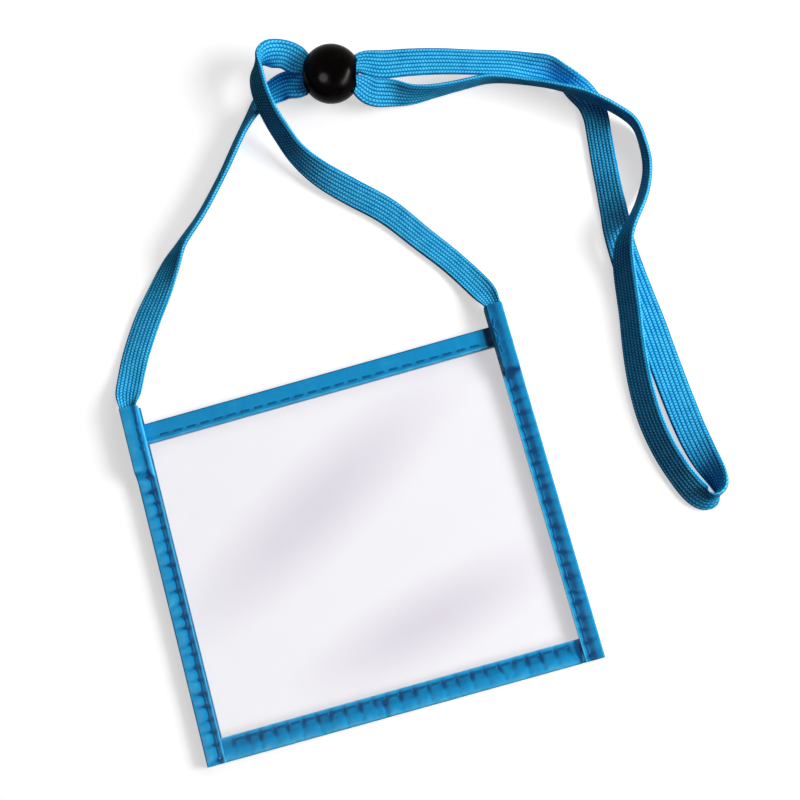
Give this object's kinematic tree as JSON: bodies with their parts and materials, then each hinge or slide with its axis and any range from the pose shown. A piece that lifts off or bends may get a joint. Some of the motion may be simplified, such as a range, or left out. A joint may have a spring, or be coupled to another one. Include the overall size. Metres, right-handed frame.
{
  "type": "id badge wallet",
  "caption": "Clear vinyl badge pouch, open at the top and bound in folded stitched tape, on a flat braided neck strap whose two strands run through a sliding ball bead.",
  "frame": {"origin": "middle of the pouch, on the surface that it lies on; the strap and its bead are left out of this", "axes": "+X across the pouch, +Y along its side tapes towards the open top, +Z out of its front"},
  "size_m": [0.1583, 0.1868, 0.0165],
  "materials": {
    "clear_vinyl": "clear, glossy and slightly wavy",
    "binding_tape": "coated fabric tape with a soft sheen, puckered along its stitches",
    "sewing_thread": "twisted thread",
    "strap_braid": "smooth tubular braid with fine lengthwise rows",
    "bead": "polished"
  },
  "bodies": {
    "pouch": {"front_window": "clear_vinyl", "back_window": "clear_vinyl", "front_top_binding": "binding_tape", "back_top_binding": "binding_tape", "bottom_binding": "binding_tape", "left_binding": "binding_tape", "right_binding": "binding_tape", "front_top_stitching": "sewing_thread", "back_top_stitching": "sewing_thread", "bottom_stitching": "sewing_thread", "left_stitching": "sewing_thread", "right_stitching": "sewing_thread", "left_strap_tack": "sewing_thread", "right_strap_tack": "sewing_thread", "left_leg": "strap_braid", "neck_loop": "strap_braid", "right_leg": "strap_braid"},
    "bead": {"slider_bead": "bead"}
  },
  "joints": [
    {"name": "bead_slide", "type": "slide", "parent": "pouch", "child": "bead", "axis": [0.9613, -0.2756, 0], "range_m": [-0.003, 0.018], "deforming": ["left_leg", "neck_loop", "right_leg"]}
  ]
}
